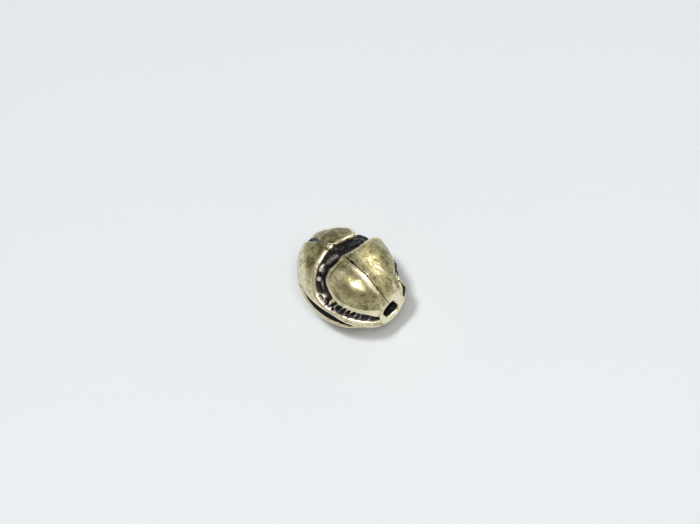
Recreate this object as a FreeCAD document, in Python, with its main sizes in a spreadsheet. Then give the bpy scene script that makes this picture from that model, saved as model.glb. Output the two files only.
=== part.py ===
"""Brass bead in the form of a beetle, 12 mm long, strung on a cord along its length.

Frame: the origin is the middle of the cord hole, +X runs along the hole to the tail,
+Z comes up out of the upper pair of wing cases, and left is -Y. Lengths are in
millimetres and angles in degrees.

The bead has the same beetle on its two faces. A dark core carries everything: on each
face two domed wing cases, a collar split by a notch, legs in the channels, and a round
boss where the collar and the wing cases meet, then a head and a ring round the hole at
the tail. The two sides differ: the left collar runs on as a rim along the flank, and the
right wing case is fuller and has a rim of its own.
"""
import FreeCAD, Part
import os
import Sketcher

OUT_FOLDER = "parts"

# Each row is a name, its value and what it measures.
SIZES = [
    # the whole bead
    ("half_length", 6.0, "hole's mouth to the middle of the bead"),
    ("girdle_radius", 4.95, "bead at its thickest, from the hole's axis"),
    ("lower_proud", 0.15, "how far the lower rim stands out past the upper one"),
    ("overrun", 0.5, "how far a cutting shape runs past what it cuts"),
    # the hole, the core and the two ends
    ("bore_radius", 0.8, "cord hole"),
    ("end_wall", 0.35, "wall between the hole and the shells"),
    ("end_ring_length", 0.5, "the ring at the tail, along the hole"),
    ("mouth_bevel", 0.12, "broken edge of the hole at the tail"),
    ("tail_lip", 0.75, "smooth face round the tail ring"),
    ("head_lip", 0.35, "face round the hole at the head"),
    ("head_length", 1.0, "the head, along the hole"),
    ("head_step", 0.15, "how far the head lies below the collar"),
    ("channel_depth", 0.8, "girdle down to the core, the floor of the channels"),
    # the collar's notch
    ("notch_rise_share", 0.965, "bottom of the notch at the boss, of girdle_radius"),
    ("notch_angle", 30.0, "fall of the notch towards the head"),
    # the left channel, behind the collar and along the flank, drawn square to channel_look_angle
    ("channel_look_angle", 60.0, "direction that the channel is cut in, from the top down"),
    ("collar_edge_share", -0.283, "collar's edge at the boss, of half_length"),
    ("collar_turn_share", -0.237, "where the edge starts to turn, of half_length"),
    ("rim_bend_share", 0.133, "where the turn ends at the rim, of half_length"),
    ("rim_end_share", 0.783, "where the rim's long run ends, of half_length"),
    ("channel_end_share", 0.855, "tail end of the channel, of half_length"),
    ("collar_turn_rise_share", 0.444, "height of the turn's start, of girdle_radius"),
    ("rim_bend_rise_share", -0.192, "height of the turn's end, of girdle_radius"),
    ("rim_end_rise_share", -0.22, "height of the long run's end, of girdle_radius"),
    ("channel_end_rise_share", -0.125, "where the channel closes, of girdle_radius"),
    ("collar_turn_radius", 3.6, "round of the turn from the collar to the rim"),
    ("rim_run_radius", 10.0, "round of the long run"),
    ("channel_end_radius", 0.52, "round of the closed end"),
    # the right channel, which crosses the flank behind the collar, drawn square to full_look_angle
    ("full_look_angle", 70.0, "direction that the right side's outlines are cut in"),
    ("full_collar_edge_share", -0.275, "collar's edge at the boss, of half_length"),
    ("full_collar_knee_share", -0.185, "where the edge starts to turn back, of half_length"),
    ("full_collar_heel_share", -0.3, "where the edge has turned back, of half_length"),
    ("full_collar_foot_share", -0.53, "the edge far down the flank, of half_length"),
    ("full_rim_front_share", -0.22, "front end of the rim, of half_length"),
    ("full_rim_run_share", 0.567, "middle of the rim's upper edge, of half_length"),
    ("full_channel_end_share", 0.9, "tail end of the channel, of half_length"),
    ("full_collar_knee_rise_share", 0.68, "height of the turn's start, of girdle_radius"),
    ("full_collar_heel_rise_share", 0.42, "height of the turn's end, of girdle_radius"),
    ("full_flank_drop_share", -0.65, "how far down the flank is drawn, of girdle_radius"),
    ("full_rim_front_rise_share", -0.235, "the rim's front end, of girdle_radius"),
    ("full_rim_run_rise_share", -0.07, "middle of the rim's upper edge, of girdle_radius"),
    ("full_channel_end_rise_share", 0.01, "where the channel closes, of girdle_radius"),
    ("full_collar_turn_radius", 1.0, "round of the collar's turn"),
    # the plane where the two faces of the bead meet, and the groove over it on the left
    ("parting_drop", 0.16, "below the hole's axis at mid-length"),
    ("parting_angle", 2.4, "fall of the plane towards the tail"),
    ("groove_place_share", -0.034, "middle of the groove, of half_length"),
    ("groove_half_length", 4.55, "half of the groove's length"),
    ("groove_height", 1.03, "the groove at its widest"),
    # the left wing case's outline, drawn square to wing_look_angle
    ("seam_gap", 0.08, "hairline between the left and the right pieces"),
    ("wing_look_angle", 50.0, "direction that the outline is cut in, from the top down"),
    ("wing_front_share", -0.05, "front edge over the seam, of half_length"),
    ("wing_corner_share", -0.05, "front edge at the shoulder, of half_length"),
    ("wing_shoulder_share", 0.267, "where the shoulder ends, of half_length"),
    ("wing_side_share", 0.883, "where the long side ends, of half_length"),
    ("wing_corner_rise_share", 0.25, "height of the corner, of girdle_radius"),
    ("wing_shoulder_rise_share", -0.107, "height of the shoulder's end, of girdle_radius"),
    ("wing_side_rise_share", -0.094, "height of the side's end, of girdle_radius"),
    ("wing_end_rise_share", -0.08, "height of the edge at the tail, of girdle_radius"),
    ("wing_shoulder_radius", 2.5, "round of the shoulder"),
    ("wing_side_radius", 4.9, "round of the long side"),
    ("flange_step", 0.42, "flange's face below the girdle"),
    ("flange_tail_step", 0.05, "the same at the tail face"),
    # the right wing case's outline, drawn square to full_look_angle
    ("full_brow_share", 0.035, "front edge half-way down, of half_length"),
    ("full_corner_share", -0.1, "front edge at the shoulder, of half_length"),
    ("full_shoulder_share", -0.03, "where the shoulder ends, of half_length"),
    ("full_side_share", 0.6, "where the long side ends, of half_length"),
    ("full_brow_rise_share", 0.53, "height of the front edge's middle, of girdle_radius"),
    ("full_corner_rise_share", -0.07, "height of the corner, of girdle_radius"),
    ("full_shoulder_rise_share", -0.17, "height of the shoulder's end, of girdle_radius"),
    ("full_side_rise_share", 0.22, "height of the side's end, of girdle_radius"),
    ("full_end_rise_share", 0.2, "height of the edge at the tail, of girdle_radius"),
    ("full_shoulder_radius", 0.9, "round of the shoulder"),
    ("full_side_radius", 8.0, "round of the long side"),
    # the left wing case's dome
    ("dome_place_share", 0.407, "middle of the dome, of half_length"),
    ("dome_side_share", 0.159, "dome's distance from the seam, of girdle_radius"),
    ("dome_rise_share", 0.36, "dome's height over the hole, of girdle_radius"),
    ("dome_half_length_share", 0.619, "dome's half length, of half_length"),
    ("dome_radius_share", 0.517, "dome's own radius, of girdle_radius"),
    ("dome_fall_share", 0.772, "how steeply the dome falls to the tail"),
    ("dome_turn_angle", 11.2, "how far the dome turns in towards the seam"),
    # the right wing case's dome, a broad one whose middle lies under the collar
    ("full_dome_place_share", -0.2, "middle of the dome, of half_length"),
    ("full_dome_side_share", 0.036, "dome's distance from the seam, of girdle_radius"),
    ("full_dome_drop_share", 0.065, "dome's middle below the hole, of girdle_radius"),
    ("full_dome_half_length_share", 1.2375, "dome's half length, of half_length"),
    ("full_dome_radius_share", 1.02, "dome's own radius, of girdle_radius"),
    ("full_dome_climb_share", 0.155, "how steeply the dome climbs to the tail"),
    ("full_dome_turn_angle", 7.0, "how far the dome turns in towards the seam"),
    # the boss
    ("boss_place_share", -0.29, "middle of the boss, of half_length"),
    ("boss_radius", 0.5, "boss"),
    ("boss_sink", 0.1, "top of the boss below the girdle"),
    ("boss_crown", 0.16, "broken edge of the boss"),
    ("dimple_radius", 0.2, "dimple in its top"),
    ("dimple_depth", 0.12, "the same, deep"),
    # the legs
    ("leg_sink", 0.4, "how far a leg's foot goes down past the core's surface"),
    ("knuckle_height", 0.5, "front leg over the core"),
    ("knuckle_half_width", 0.4, "front leg, half of its width at the foot"),
    ("knuckle_taper", 0.16, "how far a knuckle draws in to its top"),
    ("loop_radius", 0.43, "middle leg's loop, to the middle of its wire"),
    ("loop_wire_radius", 0.21, "the loop's wire, half of its width"),
    ("loop_height", 0.34, "the loop over the core"),
    ("loop_bevel", 0.12, "broken edges of the loop"),
    ("loop_place_share", 0.09, "middle of the loop, of half_length"),
    ("loop_angle", 61.0, "how far down the flank the loop lies"),
    ("knee_radius", 0.48, "knob beside the loop, at its foot"),
    ("knee_top_radius", 0.26, "the same, at its top"),
    ("knee_height", 0.45, "knob over the core"),
    ("knee_distance", 0.88, "middle of the knob to the middle of the loop"),
    ("comb_start_share", 0.229, "front end of the hind leg, of half_length"),
    ("first_tooth_share", 0.276, "first tooth, of half_length"),
    ("last_tooth_share", 0.824, "last tooth, of half_length"),
    ("crowding_share", 0.55, "how far the teeth close up towards the tail"),
    ("comb_angle", 69.0, "how far down the flank the teeth stand"),
    ("comb_lean_angle", 12.0, "lean of the teeth"),
    ("comb_back", 0.18, "the comb's back over the core"),
    ("comb_sink", 0.3, "the teeth's tips below the girdle"),
    ("first_tooth_width", 0.22, "the first tooth, along the bead"),
    ("last_tooth_width", 0.12, "the last tooth, along the bead"),
]

# A front leg's knuckles, from the boss outwards: place along the bead as a share of
# half_length, degrees down the flank, and half length as a share of girdle_radius.
LEFT_KNUCKLE_SHARES = [
    (-0.107, 10.0, 0.135),
    (-0.141, 28.0, 0.18),
    (-0.097, 44.0, 0.125),
]
RIGHT_KNUCKLE_SHARES = [
    (-0.105, 11.0, 0.14),
    (-0.075, 29.0, 0.17),
    (-0.13, 47.0, 0.17),
    (-0.21, 65.0, 0.18),
]
TOOTH_COUNT = 11
# Corners of the core's outline and of the teeth's tips, as shares of their length.
CORE_CORNER_SHARES = (0.0, 0.42, 0.78, 1.0)
TIP_CORNER_SHARES = (0.229, 0.6, 0.86, 1.0)
HEAD_CORNER_SHARES = (1.0, 0.5, 0.0)

# Values that follow from the driving sizes.
DERIVED = [
    ("core_radius", "sizes.girdle_radius - sizes.channel_depth"),
    ("core_half", "sizes.half_length - sizes.end_ring_length"),
    ("end_radius", "sizes.bore_radius + sizes.end_wall"),
    ("core_reach", "core_half / sqrt(1 - pow(end_radius / core_radius; 2))"),
    ("tail_face", "end_radius + sizes.tail_lip"),
    ("head_face", "end_radius + sizes.head_lip"),
    ("flange_radius", "sizes.girdle_radius - sizes.flange_step"),
    ("flange_face", "tail_face - sizes.flange_tail_step"),
    ("tool_reach", "sizes.girdle_radius + sizes.lower_proud + sizes.overrun"),
    ("tool_half", "sizes.half_length + sizes.overrun"),
    ("dome_fall", "atan(sizes.dome_fall_share * sizes.girdle_radius / sizes.half_length)"),
    ("full_dome_climb", "atan(sizes.full_dome_climb_share * sizes.girdle_radius / sizes.half_length)"),
]

X_AXIS, Y_AXIS, Z_AXIS = (1, 0, 0), (0, 1, 0), (0, 0, 1)
QUARTER_TURN, HALF_NOTCH, FULL_TURN = 90, 45, 360

doc = FreeCAD.newDocument("beetle_bead")
sheet = doc.addObject("Spreadsheet::Sheet", "sizes")
for row, (alias, size, meaning) in enumerate(SIZES, start=1):
    sheet.set("A%d" % row, meaning)
    sheet.set("B%d" % row, str(size))
    sheet.setAlias("B%d" % row, alias)
doc.recompute()
form = doc.addObject("App::VarSet", "form")
for alias, text in DERIVED:
    form.addProperty("App::PropertyFloat", alias)
    form.setExpression(alias, text)
    doc.recompute()


def number(text):
    """The value of an expression in the names of the sizes."""
    return float(form.evalExpression(text))


def bind(thing, **expressions):
    """Bind properties to expressions; two underscores stand for the dot in a path."""
    for path, text in expressions.items():
        thing.setExpression(path.replace("__", "."), text)
    return thing


def placed(along="0", across="0", up="0", yaw="0", pitch="0", roll="0"):
    """The expression of a placement: a place, and turns about Z, then Y, then X."""
    return ("create(<<placement>>; create(<<vector>>; %s; %s; %s); create(<<rotation>>; %s; %s; %s))"
            % (along, across, up, yaw, pitch, roll))


def united(name, *shapes):
    result = doc.addObject("Part::MultiFuse", name)
    result.Shapes = list(shapes)
    return result


def shared(name, *shapes):
    """What all the shapes have in common."""
    result = doc.addObject("Part::MultiCommon", name)
    result.Shapes = list(shapes)
    return result


def cut(name, base, *tools):
    result = doc.addObject("Part::Cut", name)
    result.Base = base
    result.Tool = tools[0] if len(tools) == 1 else united(name + "_tools", *tools)
    return result


def mirrored(name, source, normal):
    result = doc.addObject("Part::Mirroring", name)
    result.Source = source
    result.Normal = FreeCAD.Vector(*normal)
    return result


def ellipsoid(name, length, radius, width, placement):
    """An ellipsoid with its own Z along its length."""
    shape = bind(doc.addObject("Part::Ellipsoid", name), Radius1=length, Radius2=radius,
                 Radius3=width, Placement=placement)
    shape.Angle1, shape.Angle2, shape.Angle3 = -QUARTER_TURN, QUARTER_TURN, FULL_TURN
    return shape


def block(name, low, high, placement=None):
    """A box between two corners, each three expressions, then moved by the placement."""
    sides = ["%s - (%s)" % (top, bottom) for bottom, top in zip(low, high)]
    corner = placed(*low)
    return bind(doc.addObject("Part::Box", name), Length=sides[0], Width=sides[1], Height=sides[2],
                Placement=corner if placement is None else placement + " * " + corner)


def rod(name, radius, half):
    """A cylinder along the hole's axis, as long on both sides of the middle."""
    return bind(doc.addObject("Part::Cylinder", name), Radius=radius, Height="2 * " + half,
                Placement=placed("-" + half, pitch=str(QUARTER_TURN)))


def origin_feature(body, role):
    return next(feature for feature in body.Origin.OriginFeatures if feature.Role == role)


def outline(body, role, name, corners, rounds):
    """A closed sketch through corners, each a pair of expressions.

    A side is straight unless rounds, which is keyed by the side's index, gives the
    expression of its radius. Round sides bulge to the right of their run, and those
    whose radius comes with "left" bulge to the left.
    """
    sketch = body.newObject("Sketcher::SketchObject", name)
    sketch.AttachmentSupport = [(origin_feature(body, role), "")]
    sketch.MapMode = "FlatFace"
    points = [FreeCAD.Vector(number(a), number(b), 0) for a, b in corners]
    sides = []
    for index, start in enumerate(points):
        end = points[(index + 1) % len(points)]
        if index not in rounds:
            sides.append((sketch.addGeometry(Part.LineSegment(start, end), False), 1, 2))
            continue
        radius_text, *bulge = rounds[index]
        radius, chord = number(radius_text), end - start
        side = 1 if bulge else -1
        away = FreeCAD.Vector(-chord.y, chord.x, 0).normalize() * side
        sagitta = radius - (radius ** 2 - (chord.Length / 2) ** 2) ** 0.5
        arc = sketch.addGeometry(Part.Arc(start, (start + end) * 0.5 + away * sagitta, end), False)
        # a sketch counts an arc's ends anticlockwise
        sides.append((arc, 2, 1) if bulge else (arc, 1, 2))
        constraint = sketch.addConstraint(Sketcher.Constraint("Radius", arc, radius))
        sketch.setExpression("Constraints[%d]" % constraint, radius_text)
    for index, (piece, first, last) in enumerate(sides):
        following = sides[(index + 1) % len(sides)]
        sketch.addConstraint(Sketcher.Constraint("Coincident", piece, last, following[0], following[1]))
        for kind, text in zip(("DistanceX", "DistanceY"), corners[index]):
            constraint = sketch.addConstraint(
                Sketcher.Constraint(kind, -1, 1, piece, first, number(text)))
            sketch.setExpression("Constraints[%d]" % constraint, text)
    return sketch


def prism(name, role, corners, rounds, height, placement, both_ways=False):
    """A body with one pad of an outline."""
    body = bind(doc.addObject("PartDesign::Body", name), Placement=placement)
    pad_outline = outline(body, role, name + "_outline", corners, rounds)
    pad = bind(body.newObject("PartDesign::Pad", name + "_pad"), Length=height)
    pad.Profile = pad_outline
    pad.Midplane = both_ways
    return body


def turned(name, axis, corners, rounds, placement):
    """A body with one outline turned round an axis of its own."""
    body = bind(doc.addObject("PartDesign::Body", name), Placement=placement)
    profile = outline(body, "XZ_Plane", name + "_outline", corners, rounds)
    revolution = body.newObject("PartDesign::Revolution", name + "_turning")
    revolution.Profile = profile
    revolution.ReferenceAxis = (origin_feature(body, axis), [""])
    revolution.Angle = FULL_TURN
    return body


def of_length(share):
    return "sizes.%s * sizes.half_length" % share


def of_radius(share):
    return "sizes.%s * sizes.girdle_radius" % share


def belly(radius, face):
    """The radius of the arc from the girdle to the rim of an end face."""
    return "(pow(sizes.half_length; 2) + pow(%s - %s; 2)) / (2 * (%s - %s))" % (radius, face, radius, face)


def belly_height(radius, face, along):
    """The distance of that arc from the hole's axis at a place along the bead."""
    arc = belly(radius, face)
    return "(%s - %s + sqrt(pow(%s; 2) - pow(%s; 2)))" % (radius, arc, arc, along)


def barrel(name, radius, tail, head):
    """A form turned round the hole's axis, thickest at mid-length."""
    return turned(name, "X_Axis", [
        ("-sizes.half_length", "0"),
        ("-sizes.half_length", head),
        ("0", radius),
        ("sizes.half_length", tail),
        ("sizes.half_length", "0"),
    ], {1: (belly(radius, head), "left"), 2: (belly(radius, tail), "left")}, placed())


def core_corners(extra="0", shares=CORE_CORNER_SHARES):
    """Corners of the core's outline from mid-length to the tail, grown by extra."""
    corners = []
    for share in shares:
        along = "%s * form.core_half" % share
        corners.append((along, "form.core_radius * sqrt(1 - pow(%s / form.core_reach; 2)) + %s"
                        % (along, extra)))
    return corners


def both_ends(corners):
    """The corners mirrored to the head's side, then the corners themselves."""
    return [("-" + along, height) for along, height in reversed(corners[1:])] + corners


def banded(name, corners, hole="0"):
    """A form of cone bands turned round the hole's axis, open from the hole outwards."""
    (first, _), (last, _) = corners[0], corners[-1]
    return turned(name, "X_Axis", [(first, hole)] + corners + [(last, hole)], {}, placed())


# The forms that the bead's surfaces lie on, all round the hole's axis.
LOW_SIDE = ("-form.tool_reach", "-form.tool_reach")
HIGH_SIDE = ("form.tool_reach", "form.tool_reach")
LOWER_RADIUS = "(sizes.girdle_radius + sizes.lower_proud)"
head_slab = block("head_slab", ("-form.tool_half",) + LOW_SIDE,
                  ("-sizes.half_length + sizes.head_length",) + HIGH_SIDE)
left_half = block("left_half", ("-form.tool_half",) + LOW_SIDE,
                  ("form.tool_half", "-sizes.seam_gap / 2", "form.tool_reach"))
upper_form = barrel("upper_form", "sizes.girdle_radius", "form.tail_face", "form.head_face")
lower_form = barrel("lower_form", LOWER_RADIUS, "form.tail_face", "form.head_face")
flange_form = barrel("flange_form", "form.flange_radius", "form.flange_face", "form.head_face")
core_form = banded("core_form", both_ends(core_corners()))
end_rod = rod("end_rod", "form.end_radius", "form.tool_half")
inner_form = united("inner_form", core_form, end_rod)
bore = rod("bore", "sizes.bore_radius", "form.tool_half")

# The core, with the cord hole through it.
core = banded("core", both_ends(core_corners()), "sizes.bore_radius")

# The tail ring, with the edge of the hole's mouth broken.
tail_ring = turned("tail_ring", "X_Axis", [
    ("form.core_half", "sizes.bore_radius"),
    ("form.core_half", "form.end_radius"),
    ("sizes.half_length", "form.end_radius"),
    ("sizes.half_length", "sizes.bore_radius + sizes.mouth_bevel"),
    ("sizes.half_length - sizes.mouth_bevel", "sizes.bore_radius"),
], {}, placed())

# The head, a blunt cap round the other end of the hole.
head_corners = []
for share in HEAD_CORNER_SHARES:
    along = "(sizes.half_length - %s * sizes.head_length)" % (1 - share)
    head_corners.append(("-" + along, "%s - sizes.head_step"
                         % belly_height("sizes.girdle_radius", "form.head_face", along)))
head = cut("head", banded("head_cap", head_corners, "sizes.bore_radius"), core_form)


# A wing case: a dome on a low flange, cut to its outline and seated on the core. The
# right one is drawn on the left, like everything here, and mirrored at the end.
def wing_case(name, outline_zone, dome):
    blank = united(name + "_blank", dome, flange_form)
    return cut(name, shared(name + "_cutting", blank, outline_zone), inner_form)


wing_prism = prism("wing_prism", "XY_Plane", [
    (of_length("wing_front_share"), "form.tool_reach"),
    (of_length("wing_corner_share"), of_radius("wing_corner_rise_share")),
    (of_length("wing_shoulder_share"), of_radius("wing_shoulder_rise_share")),
    (of_length("wing_side_share"), of_radius("wing_side_rise_share")),
    ("form.tool_half", of_radius("wing_end_rise_share")),
    ("form.tool_half", "form.tool_reach"),
], {1: ("sizes.wing_shoulder_radius",), 2: ("sizes.wing_side_radius",)},
    "form.tool_reach", placed(roll="sizes.wing_look_angle"))
wing_zone = shared("wing_zone", wing_prism, left_half)
wing_dome = ellipsoid("wing_dome", of_length("dome_half_length_share"), of_radius("dome_radius_share"),
                      of_radius("dome_radius_share"),
                      placed(of_length("dome_place_share"), "-" + of_radius("dome_side_share"),
                             of_radius("dome_rise_share"), "sizes.dome_turn_angle",
                             "form.dome_fall + %d" % QUARTER_TURN))
left_wing_case = wing_case("upper_left_wing_case", wing_zone, wing_dome)

full_prism = prism("full_prism", "XY_Plane", [
    (of_length("wing_front_share"), "form.tool_reach"),
    (of_length("full_brow_share"), of_radius("full_brow_rise_share")),
    (of_length("full_corner_share"), of_radius("full_corner_rise_share")),
    (of_length("full_shoulder_share"), of_radius("full_shoulder_rise_share")),
    (of_length("full_side_share"), of_radius("full_side_rise_share")),
    ("form.tool_half", of_radius("full_end_rise_share")),
    ("form.tool_half", "form.tool_reach"),
], {2: ("sizes.full_shoulder_radius",), 3: ("sizes.full_side_radius",)},
    "form.tool_reach", placed(roll="sizes.full_look_angle"))
full_zone = shared("full_zone", full_prism, left_half)
full_dome = ellipsoid("full_dome", of_length("full_dome_half_length_share"),
                      of_radius("full_dome_radius_share"), of_radius("full_dome_radius_share"),
                      placed(of_length("full_dome_place_share"), "-" + of_radius("full_dome_side_share"),
                             "-" + of_radius("full_dome_drop_share"), "sizes.full_dome_turn_angle",
                             "%d - form.full_dome_climb" % QUARTER_TURN))
full_wing_case = wing_case("full_wing_case", full_zone, full_dome)

# The left channel, behind the collar and along the flank.
channel_prism = prism("channel_prism", "XY_Plane", [
    (of_length("collar_edge_share"), "form.tool_reach"),
    (of_length("collar_turn_share"), of_radius("collar_turn_rise_share")),
    (of_length("rim_bend_share"), of_radius("rim_bend_rise_share")),
    (of_length("rim_end_share"), of_radius("rim_end_rise_share")),
    (of_length("channel_end_share"), of_radius("channel_end_rise_share")),
    (of_length("channel_end_share"), "form.tool_reach"),
], {1: ("sizes.collar_turn_radius",), 2: ("sizes.rim_run_radius",), 3: ("sizes.channel_end_radius",)},
    "form.tool_reach", placed(roll="sizes.channel_look_angle"))
channel_zone = shared("channel_zone", channel_prism, left_half)

# The right channel, and the right collar's outline on its other side.
COLLAR_EDGE = [
    (of_length("full_collar_edge_share"), "form.tool_reach"),
    (of_length("full_collar_knee_share"), of_radius("full_collar_knee_rise_share")),
    (of_length("full_collar_heel_share"), of_radius("full_collar_heel_rise_share")),
    (of_length("full_collar_foot_share"), of_radius("full_flank_drop_share")),
]
COLLAR_TURN = {1: ("sizes.full_collar_turn_radius", "left")}
full_channel_prism = prism("full_channel_prism", "XY_Plane", COLLAR_EDGE + [
    (of_length("full_rim_front_share"), of_radius("full_flank_drop_share")),
    (of_length("full_rim_front_share"), of_radius("full_rim_front_rise_share")),
    (of_length("full_rim_run_share"), of_radius("full_rim_run_rise_share")),
    (of_length("full_channel_end_share"), of_radius("full_channel_end_rise_share")),
    (of_length("full_channel_end_share"), "form.tool_reach"),
], COLLAR_TURN, "form.tool_reach", placed(roll="sizes.full_look_angle"))
full_channel_zone = shared("full_channel_zone", full_channel_prism, left_half)
full_collar_prism = prism("full_collar_prism", "XY_Plane", COLLAR_EDGE + [
    ("-form.tool_half", of_radius("full_flank_drop_share")),
    ("-form.tool_half", "form.tool_reach"),
], COLLAR_TURN, "form.tool_reach", placed(roll="sizes.full_look_angle"))

# The boss, a turned button with a dimple, and its seat.
BOSS_TOP = "(sizes.girdle_radius - sizes.boss_sink)"
boss_blank = turned("boss_blank", "Z_Axis", [
    ("0", "form.core_radius / 2"),
    ("sizes.boss_radius", "form.core_radius / 2"),
    ("sizes.boss_radius", BOSS_TOP + " - sizes.boss_crown"),
    ("sizes.boss_radius - sizes.boss_crown", BOSS_TOP),
    ("sizes.dimple_radius", BOSS_TOP),
    ("0", BOSS_TOP + " - sizes.dimple_depth"),
], {}, placed(of_length("boss_place_share")))
boss = cut("upper_boss", boss_blank, inner_form)
boss_seat = bind(doc.addObject("Part::Cylinder", "boss_seat"), Radius="sizes.boss_radius",
                 Height="form.tool_reach", Placement=placed(of_length("boss_place_share")))

# The collars, split by a notch, and the right rim. The notch is cut by the corner of a
# square bar that falls towards the head. The left collar runs on as the left rim.
notch = block("collar_notch", ("-form.tool_half", "0", "0"), ("0", "form.tool_reach", "form.tool_reach"),
              placed(of_length("boss_place_share"), "0", of_radius("notch_rise_share"), "0",
                     "-sizes.notch_angle", str(HALF_NOTCH)))
parting = placed(up="-sizes.parting_drop", pitch="sizes.parting_angle")
under_parting = block("under_parting", ("-form.tool_half - sizes.overrun",) + LOW_SIDE,
                      ("form.tool_half + sizes.overrun", "form.tool_reach", "0"), parting)
over_parting = block("over_parting", ("-form.tool_half - sizes.overrun", "-form.tool_reach", "0"),
                     ("form.tool_half + sizes.overrun",) + HIGH_SIDE, parting)
groove_place = of_length("groove_place_share")
groove = prism("groove", "XZ_Plane", [
    (groove_place + " - sizes.groove_half_length", "0"),
    (groove_place + " + sizes.groove_half_length", "0"),
], {0: ("(pow(sizes.groove_half_length; 2) + pow(sizes.groove_height; 2)) / (2 * sizes.groove_height)",
        "left")}, "2 * form.tool_reach", parting, both_ways=True)


def shell(name, form, clearing, *more):
    """What a clearing leaves of one form on the left, outside the core."""
    return cut(name, shared(name + "_shell", form, left_half), clearing, inner_form, *more)


def lowered(clearing):
    """A clearing mirrored to the lower face."""
    return mirrored("lower_" + clearing.Name, clearing, Z_AXIS)


clearing = united("clearing", wing_zone, channel_zone, notch, boss_seat)
full_clearing = united("full_clearing", full_zone, full_channel_zone, notch, boss_seat)
rim_clearing = united("rim_clearing", full_zone, full_channel_zone, full_collar_prism)
left_collar = shell("upper_left_collar", upper_form, clearing, head_slab, under_parting, groove)
lower_left_collar = shell("lower_left_collar", lower_form, lowered(clearing), head_slab, over_parting)
full_collar = shell("full_collar", shared("full_collar_form", upper_form, full_collar_prism),
                    full_clearing, head_slab, under_parting)
lower_full_collar = shell(
    "lower_full_collar",
    shared("lower_full_collar_form", lower_form, mirrored("lower_collar_prism", full_collar_prism, Z_AXIS)),
    lowered(full_clearing), head_slab, over_parting)
full_rim = shell("full_rim", flange_form, rim_clearing, under_parting)
lower_full_rim = shell("lower_full_rim", flange_form, lowered(rim_clearing), over_parting)


# The legs stand on the channels' floor, between the wing case and the collar or rim.
def perch(along, angle):
    """The placement of a shape on the core's surface, its own Z pointing straight out."""
    height = "form.core_radius * sqrt(1 - pow((%s) / form.core_reach; 2))" % along
    return placed(along, "-%s * sin(%s)" % (height, angle), "%s * cos(%s)" % (height, angle), roll=angle)


def leg(name, floor, wing, *shapes):
    """One leg: its shapes joined, held in the channel and seated on the core."""
    joined = shapes[0] if len(shapes) == 1 else united(name + "_shapes", *shapes)
    return cut(name, shared(name + "_cutting", joined, floor), wing, inner_form, boss_seat)


def front_leg(name, floor, wing, knuckle_shares):
    """Knuckles in a row, each a block that draws in to its top."""
    knuckles = []
    for index, (place_share, angle, length_share) in enumerate(knuckle_shares, start=1):
        knuckle = bind(doc.addObject("Part::Wedge", "%s_knuckle_%d" % (name, index)),
                       Placement=perch("%s * sizes.half_length" % place_share, str(angle))
                       + " * " + placed(roll=str(QUARTER_TURN)))
        half = "%s * sizes.girdle_radius" % length_share
        for path, size in (("Xmin", "-sizes.knuckle_half_width"), ("Xmax", "sizes.knuckle_half_width"),
                           ("X2min", "sizes.knuckle_taper - sizes.knuckle_half_width"),
                           ("X2max", "sizes.knuckle_half_width - sizes.knuckle_taper"),
                           ("Ymin", "-sizes.leg_sink"), ("Ymax", "sizes.knuckle_height"),
                           ("Zmin", "-" + half), ("Zmax", half),
                           ("Z2min", "sizes.knuckle_taper - " + half),
                           ("Z2max", half + " - sizes.knuckle_taper")):
            bind(knuckle, **{path: size})
        knuckles.append(knuckle)
    return leg(name, floor, wing, *knuckles)


left_front_leg = front_leg("upper_left_front_leg", channel_zone, wing_zone, LEFT_KNUCKLE_SHARES)
full_front_leg = front_leg("full_front_leg", full_channel_zone, full_zone, RIGHT_KNUCKLE_SHARES)

LOOP_INNER = "(sizes.loop_radius - sizes.loop_wire_radius)"
LOOP_OUTER = "(sizes.loop_radius + sizes.loop_wire_radius)"
loop = turned("loop", "Z_Axis", [
    (LOOP_INNER, "-sizes.leg_sink"),
    (LOOP_OUTER, "-sizes.leg_sink"),
    (LOOP_OUTER, "sizes.loop_height - sizes.loop_bevel"),
    (LOOP_OUTER + " - sizes.loop_bevel", "sizes.loop_height"),
    (LOOP_INNER + " + sizes.loop_bevel", "sizes.loop_height"),
    (LOOP_INNER, "sizes.loop_height - sizes.loop_bevel"),
], {}, perch(of_length("loop_place_share"), "sizes.loop_angle"))
knee = bind(doc.addObject("Part::Cone", "knee"), Radius1="sizes.knee_radius",
            Radius2="sizes.knee_top_radius", Height="sizes.leg_sink + sizes.knee_height",
            Placement=perch(of_length("loop_place_share") + " - sizes.knee_distance", "sizes.loop_angle")
            + " * " + placed(up="-sizes.leg_sink"))
middle_leg = leg("upper_left_middle_leg", channel_zone, wing_zone, loop, knee)

comb_zone = block("comb_zone", (of_length("comb_start_share"),) + LOW_SIDE,
                  ("sizes.half_length",) + HIGH_SIDE)
comb_back = shared("comb_back_form", comb_zone, banded("comb_back_bands", core_corners("sizes.comb_back")))
tip_corners = []
for share in TIP_CORNER_SHARES:
    along = "%s * sizes.half_length" % share
    tip_corners.append((along, "%s - sizes.comb_sink"
                        % belly_height("sizes.girdle_radius", "form.tail_face", along)))
teeth = []
for index in range(TOOTH_COUNT):
    way = index / (TOOTH_COUNT - 1)
    run = "(%s * (1 + sizes.crowding_share) - %s * sizes.crowding_share)" % (way, way ** 2)
    along = ("(sizes.first_tooth_share + (sizes.last_tooth_share - sizes.first_tooth_share) * %s)"
             " * sizes.half_length" % run)
    half = ("((sizes.first_tooth_width + (sizes.last_tooth_width - sizes.first_tooth_width) * %s) / 2)"
            % way)
    teeth.append(block("tooth_%02d" % (index + 1), ("-" + half, "-sizes.girdle_radius / 2", "0"),
                       (half, "sizes.girdle_radius / 2", "sizes.girdle_radius"),
                       placed(along, roll="sizes.comb_angle") + " * " + placed(yaw="sizes.comb_lean_angle")))
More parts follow.
